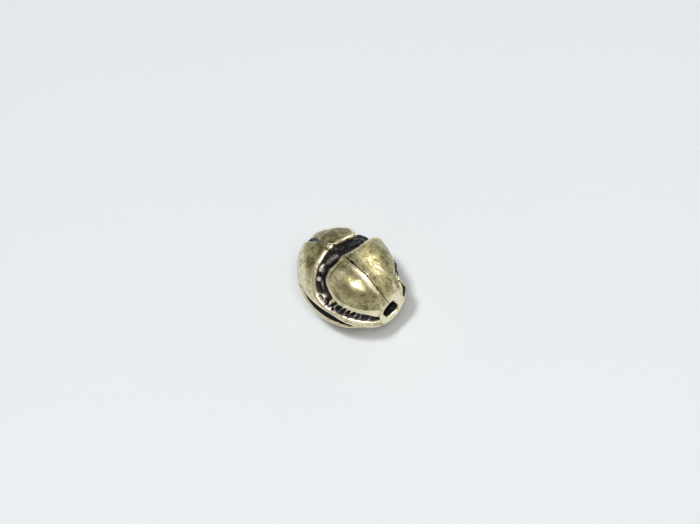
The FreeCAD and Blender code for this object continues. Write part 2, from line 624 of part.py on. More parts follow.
comb_teeth = shared("comb_teeth", united("comb_bars", *teeth), banded("comb_tips", tip_corners))
comb = united("comb", comb_back, comb_teeth)
left_hind_leg = leg("upper_left_hind_leg", channel_zone, wing_zone, comb)
full_hind_leg = leg("full_hind_leg", full_channel_zone, full_zone, comb)

# Every piece. Those of the right side are mirrored from where they are drawn, and the
# lower face's wing cases, legs and boss are mirrored from the upper face's.
nodes = {"core": core, "tail_ring": tail_ring, "head": head, "upper_boss": boss,
         "upper_left_collar": left_collar, "lower_left_collar": lower_left_collar,
         "upper_left_wing_case": left_wing_case, "upper_left_front_leg": left_front_leg,
         "upper_left_middle_leg": middle_leg, "upper_left_hind_leg": left_hind_leg}
for name, drawn in [("upper_right_collar", full_collar), ("lower_right_collar", lower_full_collar),
                    ("upper_right_rim", full_rim), ("lower_right_rim", lower_full_rim),
                    ("upper_right_wing_case", full_wing_case), ("upper_right_front_leg", full_front_leg),
                    ("upper_right_hind_leg", full_hind_leg)]:
    nodes[name] = mirrored(name, drawn, Y_AXIS)
for upper in list(nodes):
    lower = upper.replace("upper_", "lower_")
    if lower not in nodes:
        nodes[lower] = mirrored(lower, nodes[upper], Z_AXIS)
doc.recompute()

# Nothing is written unless every object and every piece is sound.
for thing in doc.Objects:
    if "Invalid" in thing.State or "Error" in thing.State:
        raise RuntimeError("%s failed to build" % thing.Name)
for name, piece in nodes.items():
    piece.Label = name
    shape = piece.Shape
    if shape.isNull() or not shape.isValid() or len(shape.Solids) != 1:
        raise RuntimeError("%s is not one sound solid" % name)
    print("%-26s %8.3f mm3 %4d faces" % (name, shape.Volume, len(shape.Faces)))

os.makedirs(OUT_FOLDER, exist_ok=True)
for name, piece in nodes.items():
    piece.Shape.exportStep(os.path.join(OUT_FOLDER, name + ".step"))
print("%d pieces" % len(nodes))
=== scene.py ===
"""Brass beetle bead, 12 mm long, lying on a pale table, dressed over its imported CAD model.

The bead is one small casting, blackened and then rubbed bright. Its whole skin is drawn as
one net of points, by distance along the bead and angle round it. Each section lays its own
pieces on that net, and a piece is in the end the part of the net that it covers, so that
neighbours meet without a step. Lengths are in millimetres until the skin is made, and the
corners of an outline are (along the bead, degrees down from the top).
"""
import math

import bpy
import numpy as np
from mathutils import Matrix, Vector


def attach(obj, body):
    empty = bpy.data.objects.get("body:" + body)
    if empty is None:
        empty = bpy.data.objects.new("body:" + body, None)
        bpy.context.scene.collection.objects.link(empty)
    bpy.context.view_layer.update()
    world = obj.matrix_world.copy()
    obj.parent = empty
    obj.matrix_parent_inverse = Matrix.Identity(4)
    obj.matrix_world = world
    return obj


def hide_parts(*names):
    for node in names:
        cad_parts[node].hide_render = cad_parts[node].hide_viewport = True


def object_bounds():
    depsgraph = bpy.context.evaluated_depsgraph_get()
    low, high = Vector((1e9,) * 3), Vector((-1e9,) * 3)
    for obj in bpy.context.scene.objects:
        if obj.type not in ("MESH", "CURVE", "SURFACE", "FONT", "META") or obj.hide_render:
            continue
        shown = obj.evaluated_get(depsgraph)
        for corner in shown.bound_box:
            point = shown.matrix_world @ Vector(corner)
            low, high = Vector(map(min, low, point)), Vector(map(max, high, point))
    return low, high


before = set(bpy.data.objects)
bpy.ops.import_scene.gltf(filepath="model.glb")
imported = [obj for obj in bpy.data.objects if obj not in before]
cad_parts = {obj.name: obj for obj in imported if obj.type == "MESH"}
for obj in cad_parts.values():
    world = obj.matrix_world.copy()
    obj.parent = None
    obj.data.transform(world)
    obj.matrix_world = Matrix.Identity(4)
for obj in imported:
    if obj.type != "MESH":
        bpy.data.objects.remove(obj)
cad_low, cad_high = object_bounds()
MM = 0.001
scene = bpy.context.scene
scene.view_settings.view_transform = "Standard"

# Camera: it looks down on the tail and the left side from 60 degrees up, rolled a little,
# through a long lens. Its distance and its aim follow from the bead's size in the photograph.
AZIMUTH, ELEVATION, ROLL = math.radians(59.69), math.radians(59.59), math.radians(-17.54)
PHOTO_WIDTH, PIXELS_PER_MM = 700, 9.646
LENS, SENSOR = 100.0, 36.0
AIM_RIGHT, AIM_UP = -0.03 * MM, 1.621 * MM
NEAREST, FARTHEST = 0.01, 5.0
back = Vector((math.sin(AZIMUTH) * math.cos(ELEVATION), -math.cos(AZIMUTH) * math.cos(ELEVATION),
               math.sin(ELEVATION)))
level = Vector((math.cos(AZIMUTH), math.sin(AZIMUTH), 0))
rise = back.cross(level)
right = level * math.cos(ROLL) + rise * math.sin(ROLL)
up = rise * math.cos(ROLL) - level * math.sin(ROLL)


def stand(thing, axes, place):
    """Link a camera or a lamp and turn its own x, y and z to the three axes."""
    rows = [tuple(axis[i] for axis in axes) + (place[i],) for i in range(3)]
    thing.matrix_world = Matrix(rows + [(0, 0, 0, 1)])
    scene.collection.objects.link(thing)


camera = bpy.data.objects.new("camera", bpy.data.cameras.new("camera"))
camera.data.lens, camera.data.sensor_width = LENS, SENSOR
camera.data.clip_start, camera.data.clip_end = NEAREST, FARTHEST
camera_distance = PHOTO_WIDTH / PIXELS_PER_MM * MM * LENS / SENSOR
stand(camera, (right, up, back), right * AIM_RIGHT + up * AIM_UP + back * camera_distance)
scene.camera = camera

# Table: a plain sheet of pale card that the bead lies on loose. It is no part of the bead.
CARD = (0.72, 0.745, 0.748, 1)
TABLE_WIDTH = 2


class Socket:
    """One output of a node tree, which can be added, multiplied and so on like a number."""

    def __init__(self, tree, socket):
        self.tree, self.socket = tree, socket

    def node(self, kind, settings=None, inputs=None, output=0):
        """Another node in the same tree: its settings first, then its sockets' values or links."""
        made = self.tree.nodes.new(kind)
        for name, value in (settings or {}).items():
            setattr(made, name, value)
        for name, value in (inputs or {}).items():
            if isinstance(value, Socket):
                self.tree.links.new(value.socket, made.inputs[name])
            else:
                made.inputs[name].default_value = value
        return Socket(self.tree, made.outputs[output])

    def math(self, operation, *values):
        return self.node("ShaderNodeMath", {"operation": operation},
                         dict(enumerate((self,) + values)))

    def __add__(self, other):
        return self.math("ADD", other)

    def __mul__(self, other):
        return self.math("MULTIPLY", other)

    def __sub__(self, other):
        return self.math("SUBTRACT", other)

    def __rsub__(self, other):
        return self * -1.0 + other

    __radd__, __rmul__ = __add__, __mul__

    def ramp(self, low, high):
        """0 below low, 1 above high and smooth between."""
        return self.node("ShaderNodeMapRange", {"interpolation_type": "SMOOTHSTEP"},
                         {"Value": self, "From Min": low, "From Max": high})

    def mix(self, first, second):
        """A colour between two, by this factor."""
        return self.node("ShaderNodeMix", {"data_type": "RGBA"}, {0: self, 6: first, 7: second}, output=2)

    def grain(self, scale, detail, roughness=0.5):
        """Noise about zero in space, finer as the scale goes up."""
        return self.node("ShaderNodeTexNoise", {}, {"Vector": self, "Scale": scale, "Detail": detail,
                                                   "Roughness": roughness}) - 0.5

    def bump(self, height, strength, distance):
        """A surface normal that follows small heights."""
        return self.node("ShaderNodeBump", {}, {"Strength": strength, "Distance": distance,
                                                "Height": height})


def material(name, look):
    """A new material with one Principled BSDF, whose sockets look gives."""
    made = bpy.data.materials.new(name)
    made.use_nodes = True
    tree = made.node_tree
    shader = tree.nodes["Principled BSDF"]
    start = Socket(tree, tree.nodes.new("ShaderNodeTexCoord").outputs["Object"])
    for socket, value in look(start).items():
        if isinstance(value, Socket):
            tree.links.new(value.socket, shader.inputs[socket])
        else:
            shader.inputs[socket].default_value = value
    return made


def card_look(place):
    """Matt pale card."""
    return {"Base Color": CARD, "Roughness": 0.8, "Specular IOR Level": 0.1}


bpy.ops.mesh.primitive_plane_add(size=TABLE_WIDTH, location=(0, 0, cad_low.z))
table = bpy.context.object
table.name = "table"
table.data.materials.append(material("table", card_look))

# Lamps: the key casts the one clear shadow, and the window lights from beside the camera.
# The others are softboxes that only the metal mirrors, in a room that is pale near the table
# and darker overhead.
LAMP_REACH = 0.6
FLAT = (1, 0, 0)


def lamp(name, towards, size, watts, colour, along_way=FLAT, on_card=True, in_metal=True):
    """A flat lamp that faces the bead; its way and its length's way go right, up and back."""
    light = bpy.data.objects.new(name, bpy.data.lights.new(name, "AREA"))
    light.data.shape, light.data.energy, light.data.color = "RECTANGLE", watts, colour
    light.data.size, light.data.size_y = size
    face, side = (Vector((right * v[0] + up * v[1] + back * v[2])).normalized()
                  for v in (towards, along_way))
    side = (side - face * side.dot(face)).normalized()
    stand(light, (side, face.cross(side), face), face * LAMP_REACH)
    light.visible_diffuse, light.visible_glossy = on_card, in_metal


lamp("key", (-0.27, 0.32, 0.91), (0.09, 0.09), 2.2, (0.94, 0.975, 1), in_metal=False)
lamp("window", (0.04, 0.11, 0.99), (0.19, 0.17), 1.45, (0.98, 0.96, 1))
lamp("glow", (0.04, 0.11, 0.99), (0.30, 0.30), 1.2, (0.98, 0.96, 1), on_card=False)
lamp("fill", (-0.62, 0.42, 0.66), (0.55, 0.55), 0.66, (1, 0.985, 0.97), on_card=False)
lamp("strip", (0.50, 0.62, 0.60), (0.95, 0.15), 0.65, (1, 0.99, 0.95), (0.83, -0.96, 0.4), on_card=False)
lamp("sheen", (0.62, 0.72, 0.31), (0.17, 0.17), 1.15, (1, 0.97, 0.97), on_card=False)
ROOM_LOW, ROOM_HIGH = (0.69, 0.65, 0.56, 1), (0.13, 0.132, 0.134, 1)
LOW_END, HIGH_START = 0.05, 0.75
world = bpy.data.worlds.new("room")
scene.world = world
world.use_nodes = True
sky = Socket(world.node_tree, world.node_tree.nodes.new("ShaderNodeTexCoord").outputs["Generated"])
sky_height = sky.node("ShaderNodeSeparateXYZ", {}, {"Vector": sky}, output=2)
room = sky_height.ramp(LOW_END, HIGH_START).mix(ROOM_LOW, ROOM_HIGH)
world.node_tree.links.new(room.socket, world.node_tree.nodes["Background"].inputs["Color"])

# Casting: the bead is one small brass casting, and its skin is drawn as a net over a barrel.
# Rows run from the tail to the head. Columns run round the bead and crowd together at the
# seams of the wing cases, on the top and on the underside.
HALF, GIRDLE, TAIL_FACE, HEAD_FACE = 6.0, 4.93, 1.9, 1.5
STEP = 0.047
SEAM_BAND, SEAM_CROWDING = math.radians(3.2), 0.4
BARREL_POINTS = 4001
PARTING_DROP, PARTING_FALL = 0.16, 0.042
LOWER_SPREAD = 1.06
TOP_BAND = math.cos(math.radians(60))
CORNER_CUT, CORNER_CUTS = 0.25, 2
HAMMERED = ((0.05, 0.35, 7), (0.02, 0.15, 8))


def belly(x, radius, tail=TAIL_FACE, head=HEAD_FACE):
    """Distance from the hole's axis of the round form with that radius at mid-length."""
    face = np.where(x >= 0, tail, head)
    arc = (HALF ** 2 + (radius - face) ** 2) / (2 * (radius - face))
    return radius - arc + np.sqrt(np.maximum(arc ** 2 - x ** 2, 0))


def ramp(value, low, high):
    """0 below low, 1 above high and smooth between."""
    share = np.clip((value - low) / (high - low), 0, 1)
    return share * share * (3 - 2 * share)


def span(value, start, full, waning, end):
    """1 between full and waning, 0 before the start and after the end."""
    return ramp(value, start, full) * (1 - ramp(value, waning, end))


def peak(value, middle, width, power=2):
    """1 at the middle, falling away over the width to either side."""
    return np.exp(-np.abs((value - middle) / width) ** power)


fine = np.linspace(-HALF, HALF, BARREL_POINTS)
run = np.concatenate([[0], np.cumsum(np.hypot(np.diff(fine), np.diff(belly(fine, GIRDLE))))])
along = np.interp(np.linspace(0, run[-1], int(run[-1] / STEP)), run, fine)[::-1]
quarter = np.concatenate([np.arange(0, SEAM_BAND, STEP * SEAM_CROWDING / GIRDLE),
                          np.linspace(SEAM_BAND, math.pi / 2, int(GIRDLE * math.pi / 2 / STEP))])
half_turn = np.concatenate([quarter, math.pi - quarter[-2::-1]])
theta = np.concatenate([half_turn, -half_turn[-2:0:-1]])
X, T = np.meshgrid(along, theta, indexing="ij")
form = belly(X, GIRDLE)
ACROSS = form * np.sin(T)
lower = np.cos(T) * form < -(PARTING_DROP + PARTING_FALL * X)
turn = np.where(lower, (math.pi - np.abs(T)) * LOWER_SPREAD, np.abs(T))
turn_degrees = np.degrees(turn)
DOWN = turn * form
near_top = np.abs(np.cos(T)) > TOP_BAND
side_left = T > 0


def noise(scale, seed, grid=None, cells=32, shift=100.37):
    """Smooth noise between -1 and 1 in space, with lumps about scale wide."""
    lattice = np.random.default_rng(seed).uniform(-1, 1, (cells, cells, cells))
    total, places, parts = 0, [], []
    for value in grid or (X, ACROSS, form * np.cos(T)):
        value = value / scale + shift
        places.append(np.floor(value).astype(int))
        parts.append(ramp(value - places[-1], 0, 1))
    for corner in np.ndindex(2, 2, 2):
        weight = 1
        for part, step in zip(parts, corner):
            weight = weight * (part if step else 1 - part)
        cell = tuple((place + step) % cells for place, step in zip(places, corner))
        total = total + weight * lattice[cell]
    return total


def lumps(layers):
    """Unevenness of the metal, from layers of a rise, the lumps' size and a seed."""
    return sum(rise * noise(size, seed) for rise, size, seed in layers)


def inside(corners, angle=turn):
    """Distance in from a closed outline's edge, negative outside it. Its corners are cut off
    at a quarter of their sides, twice over, which rounds them."""
    points = np.array(corners, float)
    for _ in range(CORNER_CUTS):
        following = np.roll(points, -1, axis=0)
        after = points * (1 - CORNER_CUT) + following * CORNER_CUT
        before = points * CORNER_CUT + following * (1 - CORNER_CUT)
        points = np.stack([after, before], axis=1).reshape(-1, 2)
    down = np.radians(points[:, 1]) * belly(np.clip(points[:, 0], -HALF, HALF), GIRDLE)
    starts = np.stack([points[:, 0], down], axis=1)
    x, y = X, angle * form
    nearest, crossings = np.full(x.shape, np.inf), np.zeros(x.shape, int)
    for (ax, ay), (bx, by) in zip(starts, np.roll(starts, -1, axis=0)):
        dx, dy = bx - ax, by - ay
        share = np.clip(((x - ax) * dx + (y - ay) * dy) / (dx * dx + dy * dy), 0, 1)
        nearest = np.minimum(nearest, (x - ax - share * dx) ** 2 + (y - ay - share * dy) ** 2)
        if ay != by:
            crossings += ((ay > y) != (by > y)) & (x < dx * (y - ay) / (by - ay) + ax)
    return np.sqrt(nearest) * np.where(crossings % 2 == 1, 1, -1)


def ledge(distance, radius):
    """Fall of a rounded edge, by the distance in from it."""
    short = np.clip(radius - distance, 0, radius)
    return radius - np.sqrt(radius ** 2 - short ** 2)


rough = lumps(HAMMERED)

# Core: the round body under everything, which shows as the floor of the channels. It is the
# casting's own brass, turned black in a bath, and the rubbing afterwards never reached it.
CORE_RADIUS, CORE_REACH, CORE_END_SHARE = 4.15, 5.724, 0.06
CORE_LUMPS = ((0.06, 0.4, 3),)
BLACK_SKIN, BARE_POINT = (0.012, 0.011, 0.013, 1), (0.80, 0.77, 0.66, 1)
DARK_SPECK, DARK_BUMP, BUMP_HEIGHT = (3000.0, 3.0), 0.5, 0.03 * MM
MARKS = ("relief", "rub_and_light", "sooty")


def mark(place, name):
    """One of the marks that the net gives each point of the skin."""
    return place.node("ShaderNodeAttribute", {"attribute_name": name}, output=2)


def dark_look(place):
    """Brass that stayed black, with bare metal on the highest points."""
    rub_and_light, sooty = mark(place, "rub_and_light"), mark(place, "sooty")
    speck = place.grain(*DARK_SPECK)
    bare = (rub_and_light + speck * 0.6 - sooty - 0.20).ramp(0.0, 0.7)
    return {"Base Color": bare.mix(BLACK_SKIN, BARE_POINT), "Metallic": bare.ramp(0.0, 0.3),
            "Specular IOR Level": 0.25, "Roughness": 0.30,
            "Normal": place.bump(speck, DARK_BUMP, BUMP_HEIGHT)}


looks = {"dark_brass": material("dark_brass", dark_look)}
slots = {"core": "dark_brass"}
floor = CORE_RADIUS * np.sqrt(np.maximum(1 - (X / CORE_REACH) ** 2, CORE_END_SHARE))
floor = floor + lumps(CORE_LUMPS)
height, label = floor.copy(), np.full(X.shape, "core", dtype=object)
rub_and_light, sooty = np.zeros(X.shape), np.zeros(X.shape)


def lay(name, level, where, wear_and_light, slot):
    """Lay a pair of pieces, on the upper and the lower face, over what is lower than they are.
    Its wear is 0 where the metal kept its dark skin and 1 where it is rubbed bare; it also carries painted
    highlights, painted reflections and painted shade."""
    for face, on_face in (("upper", ~lower), ("lower", lower)):
        hit = where & on_face & (level > height)
        piece = "%s_%s" % (face, name)
        label[hit] = piece
        height[hit] = np.broadcast_to(level, X.shape)[hit]
        rub_and_light[hit] = np.broadcast_to(wear_and_light, X.shape)[hit]
        slots[piece] = slot


# Collars and rims: the beetle's collar, cast in one with the bead and rubbed bright along its
# lip. The left half runs on along the flank as a rim. On the right the channel crosses the
# flank behind the collar, and the rim is a low strip of its own.
OLIVE, RUBBED = (0.42, 0.385, 0.205, 1), (0.88, 0.80, 0.58, 1)
TARNISH, SOOT = (0.10, 0.085, 0.035, 1), (0.006, 0.006, 0.007, 1)
TARNISH_SHARE, BRASS_BUMP = 0.8, 0.45
BLOTCH, CLOUD, SPECK = (1350.0, 4.0, 0.6), (520.0, 2.0), (4200.0, 3.0)
LEFT_CHANNEL = [(-1.8, -30), (-1.7, 0), (-1.6, 8), (-1.45, 22), (-1.4, 32), (-1.2, 41), (-1.0, 48),
                (-0.75, 55), (-0.31, 63.7), (0.28, 68.8), (1.18, 73), (2.0, 76), (3.0, 76.5), (3.75, 78.7),
                (4.76, 82.4), (5.45, 87), (5.8, 84), (5.75, 70), (5.6, -30)]
RIGHT_CHANNEL = [(-1.8, -30), (-1.7, 0), (-1.38, 12), (-1.18, 24), (-1.08, 32), (-1.15, 36), (-1.6, 41),
                 (-2.4, 48), (-2.8, 57), (-3.0, 70), (-3.1, 100), (-1.5, 100), (-1.3, 88), (-0.8, 84),
                 (1.0, 83), (2.4, 82), (3.1, 77), (3.8, 69), (4.15, 62), (4.35, 56), (4.5, -30)]
LEFT_WAVE_SHARE = 0.25
BITE_DEPTH, BITE_SIZE, BITE_END = 0.28, 0.32, math.radians(50)
BITE_LEVELS, BITE_REACH = (0.30, 0.62), (-1.9, -1.3)
LOWER_PROUD, TAIL_STEP = 0.14, 0.05
LEFT_LIP, RIGHT_LIP, LEFT_LIP_END = 0.54, 0.36, 2.5
NOTCH_SIDE, NOTCH_BEND, NOTCH_POINT, NOTCH_MOUTH, NOTCH_ROUND = 0.08, 0.19, 0.03, 0.42, 2.2
NOTCH_SHALLOW, NOTCH_DEEPER, NOTCH_SOOT = 0.08, 0.9, (0.35, 0.75)
NOTCH_START, NOTCH_REACH, BEND_REACH = (2.7, 3.2), (2.8, 5.0), (3.6, 5.2)
FLANK_SLANT, FLANK_TURN, RIM_REACH = 9.4, (58, 80), (-1.0, 0.6)
DARK_COLLAR, RIGHT_COLLAR_LIFT, FLANK_PAINTED_REFLECTION, RIM_WEAR = -0.42, 0.12, 1.0, 0.95
LIP_WEAR, LEFT_LIP_RUB, RIGHT_LIP_RUB, RIGHT_LIP_SHARE = 0.78, 0.60, 0.42, 0.75
INNER_EDGE_WEAR, INNER_EDGE_RUB, INNER_EDGE_END = 0.7, 0.40, (1.5, 2.6)
STRIP_FRONT, STRIP_TURN, STRIP_CREST, STRIP_EDGE, STRIP_WEAR = -1.45, math.radians(58), 3.0, 0.2, 0.7
STRIP_STEP, SLIT_STEP, SLIT_REACH = 0.3, 0.35, (1.0, 2.2, 3.8, 4.4)
SHOULDER_RISE, SHOULDER_REACH, SHOULDER_TURN = 0.42, (4.3, 5.1), (0.98, 1.15)


def brass_look(place):
    """Brass, black in the hollows, olive on the flats and bright where it was rubbed; the same mark also
    brings in painted highlights, painted reflections and painted shade.
    """
    relief, rub_and_light, sooty = (mark(place, name) for name in MARKS)
    blotch, cloud, speck = (place.grain(*layer) for layer in (BLOTCH, CLOUD, SPECK))
    bare = (rub_and_light + relief * 4.0 + blotch * 1.2 + cloud * 0.8 + speck * 1.5 - 0.08).ramp(0.0, 1.0)
    tarnish = blotch * -3.2 + cloud * -2.2 + speck * -2.0 - rub_and_light * 0.9 - relief * 3.0 + 0.25
    tarnish = tarnish.ramp(0.0, 1.0)
    black = (sooty * 1.2 + relief * -9.0 + blotch * 0.5 - 0.32).ramp(0.0, 0.5)
    metal = (tarnish * TARNISH_SHARE).mix(bare.mix(OLIVE, RUBBED), TARNISH)
    return {"Base Color": black.mix(metal, SOOT), "Metallic": 1.0 - black, "Specular IOR Level": 0.15,
            "Roughness": 0.33 - bare * 0.05 + tarnish * 0.08,
            "Normal": place.bump(speck + blotch * 1.5, BRASS_BUMP, BUMP_HEIGHT)}


looks["worn_brass"] = material("worn_brass", brass_look)
bites = ramp(noise(BITE_SIZE, 14), *BITE_LEVELS) * ramp(X, *BITE_REACH) * (turn < BITE_END)
channel = np.where(side_left, inside(LEFT_CHANNEL) + LEFT_WAVE_SHARE * rough,
                   inside(RIGHT_CHANNEL) + rough + BITE_DEPTH * bites)
notch_run = ramp(-X, *NOTCH_REACH)
notch_middle = NOTCH_SIDE - NOTCH_BEND * ramp(-X, *BEND_REACH)
notch = peak(ACROSS, notch_middle, NOTCH_POINT + NOTCH_MOUTH * notch_run, NOTCH_ROUND)
notch = np.where(near_top, notch * ramp(-X, *NOTCH_START), 0)
sooty = np.maximum(sooty, ramp(notch, *NOTCH_SOOT))
lip = np.where(side_left & (X < LEFT_LIP_END), LEFT_LIP, RIGHT_LIP)
notch_fall = (NOTCH_SHALLOW + NOTCH_DEEPER * notch_run) * notch
collar_level = belly(X, GIRDLE + LOWER_PROUD * lower) - ledge(-channel, lip) - notch_fall
# Painted reflection: the collar is painted lighter the further down the flank it turns, as if it mirrored
# the pale table. The brighter lip and rims are rubbed metal.
reflecting_flank = ramp(turn_degrees - FLANK_SLANT * X, *FLANK_TURN)
as_rim = ramp(X, *RIM_REACH)
collar_wear_and_light = DARK_COLLAR + RIGHT_COLLAR_LIFT * ~side_left
collar_wear_and_light = collar_wear_and_light + FLANK_PAINTED_REFLECTION * reflecting_flank * (1 - as_rim) + RIM_WEAR * as_rim
rubbed = np.where(side_left, peak(channel, 0, LEFT_LIP_RUB, 4),
                  RIGHT_LIP_SHARE * peak(channel, 0, RIGHT_LIP_RUB))
collar_wear_and_light = collar_wear_and_light + (LIP_WEAR - collar_wear_and_light) * rubbed * (1 - as_rim)
inner_edge = peak(channel, 0, INNER_EDGE_RUB) * as_rim * (1 - ramp(X, *INNER_EDGE_END))
collar_wear_and_light = collar_wear_and_light + INNER_EDGE_WEAR * inner_edge
on_strip = ~side_left & (X > STRIP_FRONT) & ((turn > STRIP_TURN) | (X > STRIP_CREST))
lay("left_collar", collar_level, side_left & (channel < 0), collar_wear_and_light, "worn_brass")
lay("right_collar", collar_level, ~side_left & (channel < 0) & ~on_strip, collar_wear_and_light, "worn_brass")
strip_drop = STRIP_STEP + SLIT_STEP * span(X, *SLIT_REACH)
strip_drop = strip_drop - SHOULDER_RISE * ramp(X, *SHOULDER_REACH) * ramp(turn, *SHOULDER_TURN)
strip_level = belly(X, GIRDLE, tail=TAIL_FACE - TAIL_STEP) - strip_drop - ledge(-channel, STRIP_EDGE)
lay("right_rim", strip_level, (channel < 0) & on_strip, STRIP_WEAR, "worn_brass")

# Groove: the joint of the upper and the lower face, which the mould left open as a long black
# slot. It runs between the rims of the left flank and, narrower, along the right one.
LEFT_GROOVE = [(-4.6, 82), (-3.6, 78.5), (-2.8, 77.6), (-1.85, 78.2), (-0.9, 78.0), (0.2, 77.6),
               (0.9, 78), (1.55, 79.3), (2.44, 82.4), (3.31, 89.5), (4.16, 96.5), (4.5, 100.5),
               (3.62, 100.5), (2.87, 100.5), (2.02, 100), (1.05, 99.5), (0.13, 99), (-0.79, 98.5),
               (-1.6, 97), (-2.5, 93), (-3.4, 88.5)]
RIGHT_GROOVE = [(-3.5, 92), (0, 90), (3.5, 88), (4.4, 80), (4.75, 60), (5.1, 62), (5.45, 69), (5.8, 79),
                (5.9, 88), (5.5, 92), (4.6, 97), (3.5, 98), (0, 96)]
GROOVE_DEPTH, GROOVE_WAVE_SHARE = 0.75, 0.4
GROOVE_LIP, GROOVE_WALL, GROOVE_SOOT = (-0.05, 0.10), (-0.1, 0.3), (-0.12, -0.02)
groove = np.where(side_left, inside(LEFT_GROOVE, np.abs(T)), inside(RIGHT_GROOVE, np.abs(T)))
groove = groove + rough * GROOVE_WAVE_SHARE
height -= GROOVE_DEPTH * ramp(groove, *GROOVE_LIP) * ramp(groove, *GROOVE_WALL)
sooty = np.maximum(sooty, ramp(groove, *GROOVE_SOOT))

# Wing cases: two domes of the same cast brass with a hairline between them, olive where the
# patina stayed. The left one stands on a low flange, and the right one is fuller and reaches
# further down the flank.
LEFT_WING = [(-0.3, -30), (-0.33, 0), (-0.22, 10), (-0.3, 20), (-0.4, 28), (-0.25, 36.2), (0.07, 43),
             (0.62, 48.5), (1.44, 55.8), (2.27, 61.5), (3.03, 63), (4.02, 63.5), (4.89, 62.5),
             (5.5, 63), (6.5, 66), (7, 66), (7, -30)]
RIGHT_WING = [(-0.2, -30), (-0.15, 0), (0.12, 8.6), (0.23, 18), (0.19, 30), (-0.15, 49), (-0.4, 65),
              (-0.6, 76), (-0.3, 83), (0.9, 82), (2.2, 80), (2.9, 73), (3.3, 68), (3.97, 60.3),
              (4.4, 56), (4.7, 57), (5.04, 63), (5.5, 70), (5.9, 80), (6.5, 84), (7, 84), (7, -30)]
LEFT_LOBE = [(0.15, -30), (0.22, 0), (0.25, 11), (0.19, 26), (0.32, 36), (0.85, 45), (1.5, 50), (2.2, 53),
             (2.9, 54.6), (3.9, 53.4), (4.76, 50), (5.4, 45), (5.9, 38), (6.6, 38), (6.6, -30)]
LEFT_DOME = {"place": (2.444, 0.788, 1.783), "half_length": 3.713, "radius": 2.558,
             "fall": 32.5, "yaw": -11.2}
RIGHT_DOME = {"place": (-1.2, 0.178, -0.322), "half_length": 7.42, "radius": 5.05,
              "fall": -7.3, "yaw": -7.0}
WING_EDGE, WING_WAVE_SHARE, FLANGE_STEP, LOBE_SLOPE = 0.22, 0.7, 0.42, 1.3
FILLET, TAIL_FILLET, TAIL_FILLET_REACH = 0.06, 0.35, (3.8, 5.2)
SEAM_SIDE, SEAM_SLANT, SEAM_WIDTH, SEAM_DEPTH, SEAM_ROUND = 0.17, 0.045, 0.036, 0.22, 2.5
SEAM_START, LOWER_SEAM_END, SEAM_SOOT = (0.25, 0.5), (5.0, 5.6), (0.3, 0.7)
SEAM_WANDER, WANDER_SIZE = 0.025, 0.5
NICK, NICK_SIZE, NICK_STRETCH, NICK_LEVELS = 0.09, 0.22, 0.5, (0.45, 0.8)
BIG_NICK, BIG_NICK_PLACE, BIG_NICK_LENGTH = 0.16, 3.1, 0.22
BIG_NICK_GRAIN, BIG_NICK_LEVELS = 0.12, (-0.2, 0.3)
WING_WEAR, FRONT_PAINTED_LIGHT, FRONT_END, TAIL_WEAR, TAIL_REACH = 0.06, 0.32, (0.6, 2.6), 0.8, (4.9, 6.0)
FLANGE_PAINTED_REFLECTION, FLANGE_LINE, SIDE_TURN = 0.70, (-0.06, 0.06), (30, 46)
CREASE_PAINTED_SHADE, CREASE_IN, CREASE_WIDTH = 0.35, 0.16, 0.14
BROW_PAINTED_SHADE, BROW_TURN, WING_EDGE_RUB, RIGHT_EDGE_WEAR = 0.5, (4, 10), 0.35, 0.45
STREAK_PAINTED_HIGHLIGHT, STREAK_SIDE, STREAK_WIDTH, STREAK_REACH = 0.85, 0.32, 0.25, (0.5, 1.8, 4.8, 5.6)
CREST_PAINTED_GLINTS, CREST_RISE, CREST_WIDTH, CREST_REACH = 0.75, 0.06, 0.30, (2.3, 3.5, 5.3, 6.0)
CREST_PLACES, CREST_ANGLES, CREST_GLINT_SPOT = [2.0, 2.8, 3.9, 4.9, 5.6], [14, 21, 31, 35, 36], 0.4


def dome_level(around, place, half_length, radius, fall, yaw):
    """How far out a spheroid reaches on each ray from the hole's axis; 0 where it is missed.
    Around is the rays' angle from the top, towards the dome's own side."""
    fall, yaw = math.radians(fall), math.radians(yaw)
    axis = np.array([math.cos(fall) * math.cos(yaw), math.cos(fall) * math.sin(yaw), -math.sin(fall)])
    out = np.array([np.zeros_like(T), np.sin(around), np.cos(around)])
    start = np.array([X - place[0], np.full_like(X, -place[1]), np.full_like(X, -place[2])])
    squash = (half_length / radius) ** 2
    along_start, along_out = np.tensordot(axis, start, 1), np.tensordot(axis, out, 1)
    a = (out * out).sum(0) - along_out ** 2 + along_out ** 2 / squash
    b = (out * start).sum(0) - along_out * along_start + along_out * along_start / squash
    c = (start * start).sum(0) - along_start ** 2 + along_start ** 2 / squash - radius ** 2
    under = b * b - a * c
    return np.where(under > 0, (-b + np.sqrt(np.maximum(under, 0))) / a, 0)


def soft_max(first, second, blend):
    """The higher of two levels, with a fillet where they cross."""
    share = np.clip(0.5 + (first - second) / (2 * blend), 0, 1)
    return second + (first - second) * share + blend * share * (1 - share)


seam_place = SEAM_SIDE - SEAM_SLANT * X
from_seam = -ACROSS - seam_place
on_left = np.where(near_top, from_seam < 0, side_left)
wing = np.where(on_left, inside(LEFT_WING), inside(RIGHT_WING)) + rough * WING_WAVE_SHARE
lobe = inside(LEFT_LOBE)
flange = belly(X, GIRDLE - FLANGE_STEP, tail=TAIL_FACE - TAIL_STEP)
to_left = np.where(side_left, turn, -turn)
dome = np.minimum(dome_level(to_left, **LEFT_DOME), flange + LOBE_SLOPE * lobe)
dome = np.where(on_left, dome, dome_level(-to_left, **RIGHT_DOME))
fillet = FILLET + TAIL_FILLET * ramp(X, *TAIL_FILLET_REACH)
wing_level = soft_max(dome, flange, fillet) - ledge(wing, WING_EDGE)
down_side, tail_wear = ramp(turn_degrees, *SIDE_TURN), TAIL_WEAR * ramp(X, *TAIL_REACH)
